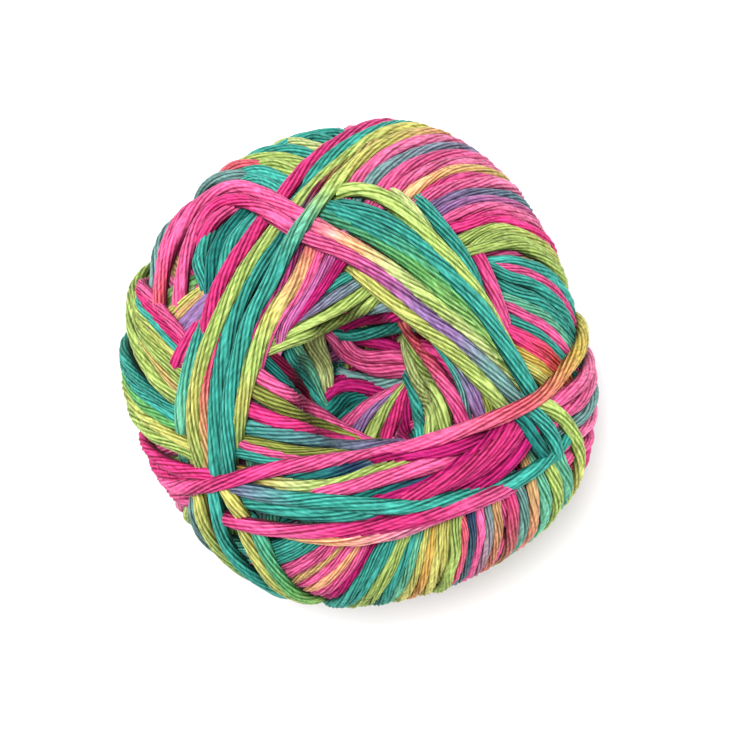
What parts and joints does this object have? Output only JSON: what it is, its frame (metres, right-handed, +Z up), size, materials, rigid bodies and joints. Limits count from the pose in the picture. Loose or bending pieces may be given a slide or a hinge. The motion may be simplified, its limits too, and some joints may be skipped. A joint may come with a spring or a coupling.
{
  "type": "ball of cotton blend yarn",
  "caption": "Machine-wound ball of variegated, loosely plied yarn with crossing bands of turns around a central hollow, and a small flat spot to rest on.",
  "frame": {"origin": "bottom of the ball, on the surface it rests on, under the middle of its width", "axes": "+Z up along the hollow's axis, +Y towards the top of the picture, which looks straight down the hollow"},
  "size_m": [0.084, 0.0856, 0.0641],
  "materials": {
    "yarn": "soft matt plied yarn, dyed in slow changes of pink, orange, lime, teal and violet"
  },
  "bodies": {
    "root": {"wound_ball": "yarn"}
  },
  "joints": []
}
